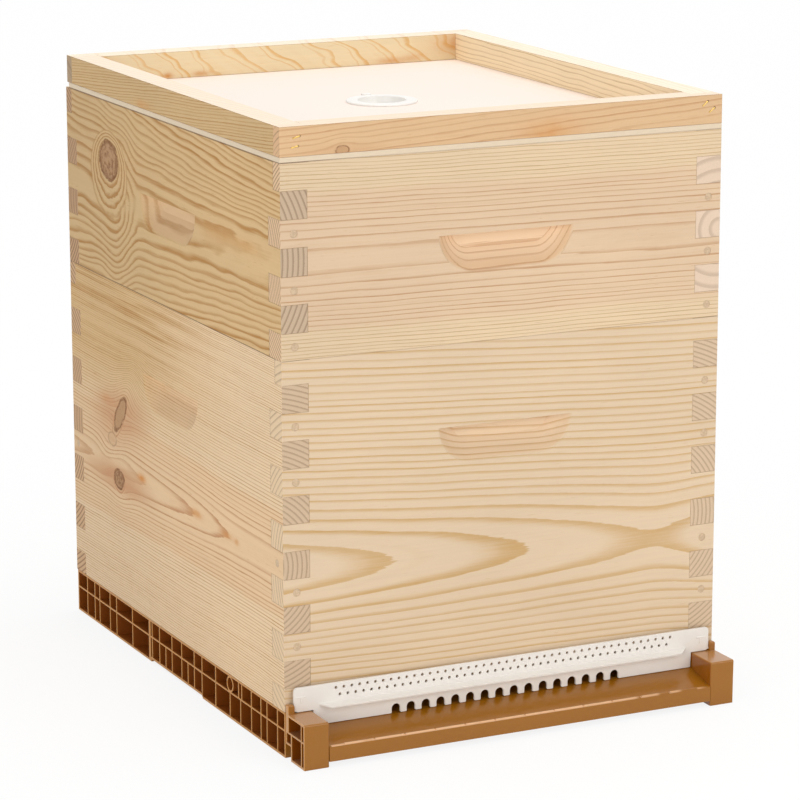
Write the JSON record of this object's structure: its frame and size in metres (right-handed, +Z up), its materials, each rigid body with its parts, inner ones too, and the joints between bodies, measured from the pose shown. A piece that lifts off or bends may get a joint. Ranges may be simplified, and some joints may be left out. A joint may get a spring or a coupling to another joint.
{
  "type": "dadant beehive",
  "caption": "Dadant hive: finger-jointed wooden brood box and honey super with lift-out frames, moulded floor with an entrance door, and an inner cover with a plugged feed hole",
  "frame": {"origin": "middle of the footprint's box, on the ground", "axes": "+Z up, -Y is the entrance side, +X is to the right seen from the entrance"},
  "size_m": [0.43, 0.5436, 0.554],
  "materials": {
    "pine": "planed, unfinished",
    "peg": "turned, unfinished",
    "frame_pine": "planed, unfinished",
    "wax": "pressed beeswax",
    "zinc": "galvanised",
    "wire": "lacquered wire",
    "panel_white": "smooth white facing",
    "white_plastic": "satin moulding",
    "brown_plastic": "satin moulding"
  },
  "bodies": {
    "floor": {"floor_front_moulding": "brown_plastic", "floor_rear_moulding": "brown_plastic", "landing_board": "brown_plastic"},
    "door": {"entrance_door": "white_plastic"},
    "brood_box": {"brood_front_board": "pine", "brood_back_board": "pine", "brood_left_board": "pine", "brood_right_board": "pine", "brood_corner_pegs": "peg", "brood_frame_rests": "zinc"},
    "super_box": {"super_front_board": "pine", "super_back_board": "pine", "super_left_board": "pine", "super_right_board": "pine", "super_corner_pegs": "peg", "super_frame_rests": "zinc"},
    "inner_cover": {"cover_panel": "panel_white", "cover_front_rim": "pine", "cover_back_rim": "pine", "cover_left_rim": "pine", "cover_right_rim": "pine", "cover_staples": "wire"},
    "feed_plug": {"feed_hole_plug": "white_plastic"},
    "brood_comb_01": {"brood_frame_01": "frame_pine", "brood_foundation_01": "wax"},
    "brood_comb_02": {"brood_frame_02": "frame_pine", "brood_foundation_02": "wax"},
    "brood_comb_03": {"brood_frame_03": "frame_pine", "brood_foundation_03": "wax"},
    "brood_comb_04": {"brood_frame_04": "frame_pine", "brood_foundation_04": "wax"},
    "brood_comb_05": {"brood_frame_05": "frame_pine", "brood_foundation_05": "wax"},
    "brood_comb_06": {"brood_frame_06": "frame_pine", "brood_foundation_06": "wax"},
    "brood_comb_07": {"brood_frame_07": "frame_pine", "brood_foundation_07": "wax"},
    "brood_comb_08": {"brood_frame_08": "frame_pine", "brood_foundation_08": "wax"},
    "brood_comb_09": {"brood_frame_09": "frame_pine", "brood_foundation_09": "wax"},
    "brood_comb_10": {"brood_frame_10": "frame_pine", "brood_foundation_10": "wax"},
    "super_comb_01": {"super_frame_01": "frame_pine", "super_foundation_01": "wax"},
    "super_comb_02": {"super_frame_02": "frame_pine", "super_foundation_02": "wax"},
    "super_comb_03": {"super_frame_03": "frame_pine", "super_foundation_03": "wax"},
    "super_comb_04": {"super_frame_04": "frame_pine", "super_foundation_04": "wax"},
    "super_comb_05": {"super_frame_05": "frame_pine", "super_foundation_05": "wax"},
    "super_comb_06": {"super_frame_06": "frame_pine", "super_foundation_06": "wax"},
    "super_comb_07": {"super_frame_07": "frame_pine", "super_foundation_07": "wax"},
    "super_comb_08": {"super_frame_08": "frame_pine", "super_foundation_08": "wax"}
  },
  "joints": [
    {"name": "door_swing", "type": "hinge", "parent": "floor", "child": "door", "pos_m": [0, -0.2358, 0.0432], "axis": [1, 0, 0], "range_deg": [0, 40]},
    {"name": "brood_box_lift", "type": "slide", "parent": "floor", "child": "brood_box", "axis": [0, 0, 1], "range_m": [0, 0.12]},
    {"name": "super_lift", "type": "slide", "parent": "brood_box", "child": "super_box", "axis": [0, 0, 1], "range_m": [0, 0.45]},
    {"name": "cover_lift", "type": "slide", "parent": "super_box", "child": "inner_cover", "axis": [0, 0, 1], "range_m": [0, 0.28]},
    {"name": "plug_lift", "type": "slide", "parent": "inner_cover", "child": "feed_plug", "axis": [0, 0, 1], "range_m": [0, 0.05]},
    {"name": "brood_comb_01_lift", "type": "slide", "parent": "brood_box", "child": "brood_comb_01", "axis": [0, 0, 1], "range_m": [0, 0.33]},
    {"name": "brood_comb_02_lift", "type": "slide", "parent": "brood_box", "child": "brood_comb_02", "axis": [0, 0, 1], "range_m": [0, 0.33]},
    {"name": "brood_comb_03_lift", "type": "slide", "parent": "brood_box", "child": "brood_comb_03", "axis": [0, 0, 1], "range_m": [0, 0.33]},
    {"name": "brood_comb_04_lift", "type": "slide", "parent": "brood_box", "child": "brood_comb_04", "axis": [0, 0, 1], "range_m": [0, 0.33]},
    {"name": "brood_comb_05_lift", "type": "slide", "parent": "brood_box", "child": "brood_comb_05", "axis": [0, 0, 1], "range_m": [0, 0.33]},
    {"name": "brood_comb_06_lift", "type": "slide", "parent": "brood_box", "child": "brood_comb_06", "axis": [0, 0, 1], "range_m": [0, 0.33]},
    {"name": "brood_comb_07_lift", "type": "slide", "parent": "brood_box", "child": "brood_comb_07", "axis": [0, 0, 1], "range_m": [0, 0.33]},
    {"name": "brood_comb_08_lift", "type": "slide", "parent": "brood_box", "child": "brood_comb_08", "axis": [0, 0, 1], "range_m": [0, 0.33]},
    {"name": "brood_comb_09_lift", "type": "slide", "parent": "brood_box", "child": "brood_comb_09", "axis": [0, 0, 1], "range_m": [0, 0.33]},
    {"name": "brood_comb_10_lift", "type": "slide", "parent": "brood_box", "child": "brood_comb_10", "axis": [0, 0, 1], "range_m": [0, 0.33]},
    {"name": "super_comb_01_lift", "type": "slide", "parent": "super_box", "child": "super_comb_01", "axis": [0, 0, 1], "range_m": [0, 0.175]},
    {"name": "super_comb_02_lift", "type": "slide", "parent": "super_box", "child": "super_comb_02", "axis": [0, 0, 1], "range_m": [0, 0.175]},
    {"name": "super_comb_03_lift", "type": "slide", "parent": "super_box", "child": "super_comb_03", "axis": [0, 0, 1], "range_m": [0, 0.175]},
    {"name": "super_comb_04_lift", "type": "slide", "parent": "super_box", "child": "super_comb_04", "axis": [0, 0, 1], "range_m": [0, 0.175]},
    {"name": "super_comb_05_lift", "type": "slide", "parent": "super_box", "child": "super_comb_05", "axis": [0, 0, 1], "range_m": [0, 0.175]},
    {"name": "super_comb_06_lift", "type": "slide", "parent": "super_box", "child": "super_comb_06", "axis": [0, 0, 1], "range_m": [0, 0.175]},
    {"name": "super_comb_07_lift", "type": "slide", "parent": "super_box", "child": "super_comb_07", "axis": [0, 0, 1], "range_m": [0, 0.175]},
    {"name": "super_comb_08_lift", "type": "slide", "parent": "super_box", "child": "super_comb_08", "axis": [0, 0, 1], "range_m": [0, 0.175]}
  ],
  "couplings": [
    {"joint": "brood_comb_01_lift", "follows": "super_lift", "ratio": 0.73333},
    {"joint": "brood_comb_02_lift", "follows": "super_lift", "ratio": 0.73333},
    {"joint": "brood_comb_03_lift", "follows": "super_lift", "ratio": 0.73333},
    {"joint": "brood_comb_04_lift", "follows": "super_lift", "ratio": 0.73333},
    {"joint": "brood_comb_05_lift", "follows": "super_lift", "ratio": 0.73333},
    {"joint": "brood_comb_06_lift", "follows": "super_lift", "ratio": 0.73333},
    {"joint": "brood_comb_07_lift", "follows": "super_lift", "ratio": 0.73333},
    {"joint": "brood_comb_08_lift", "follows": "super_lift", "ratio": 0.73333},
    {"joint": "brood_comb_09_lift", "follows": "super_lift", "ratio": 0.73333},
    {"joint": "brood_comb_10_lift", "follows": "super_lift", "ratio": 0.73333},
    {"joint": "super_comb_01_lift", "follows": "cover_lift", "ratio": 0.625},
    {"joint": "super_comb_02_lift", "follows": "cover_lift", "ratio": 0.625},
    {"joint": "super_comb_03_lift", "follows": "cover_lift", "ratio": 0.625},
    {"joint": "super_comb_04_lift", "follows": "cover_lift", "ratio": 0.625},
    {"joint": "super_comb_05_lift", "follows": "cover_lift", "ratio": 0.625},
    {"joint": "super_comb_06_lift", "follows": "cover_lift", "ratio": 0.625},
    {"joint": "super_comb_07_lift", "follows": "cover_lift", "ratio": 0.625},
    {"joint": "super_comb_08_lift", "follows": "cover_lift", "ratio": 0.625}
  ]
}
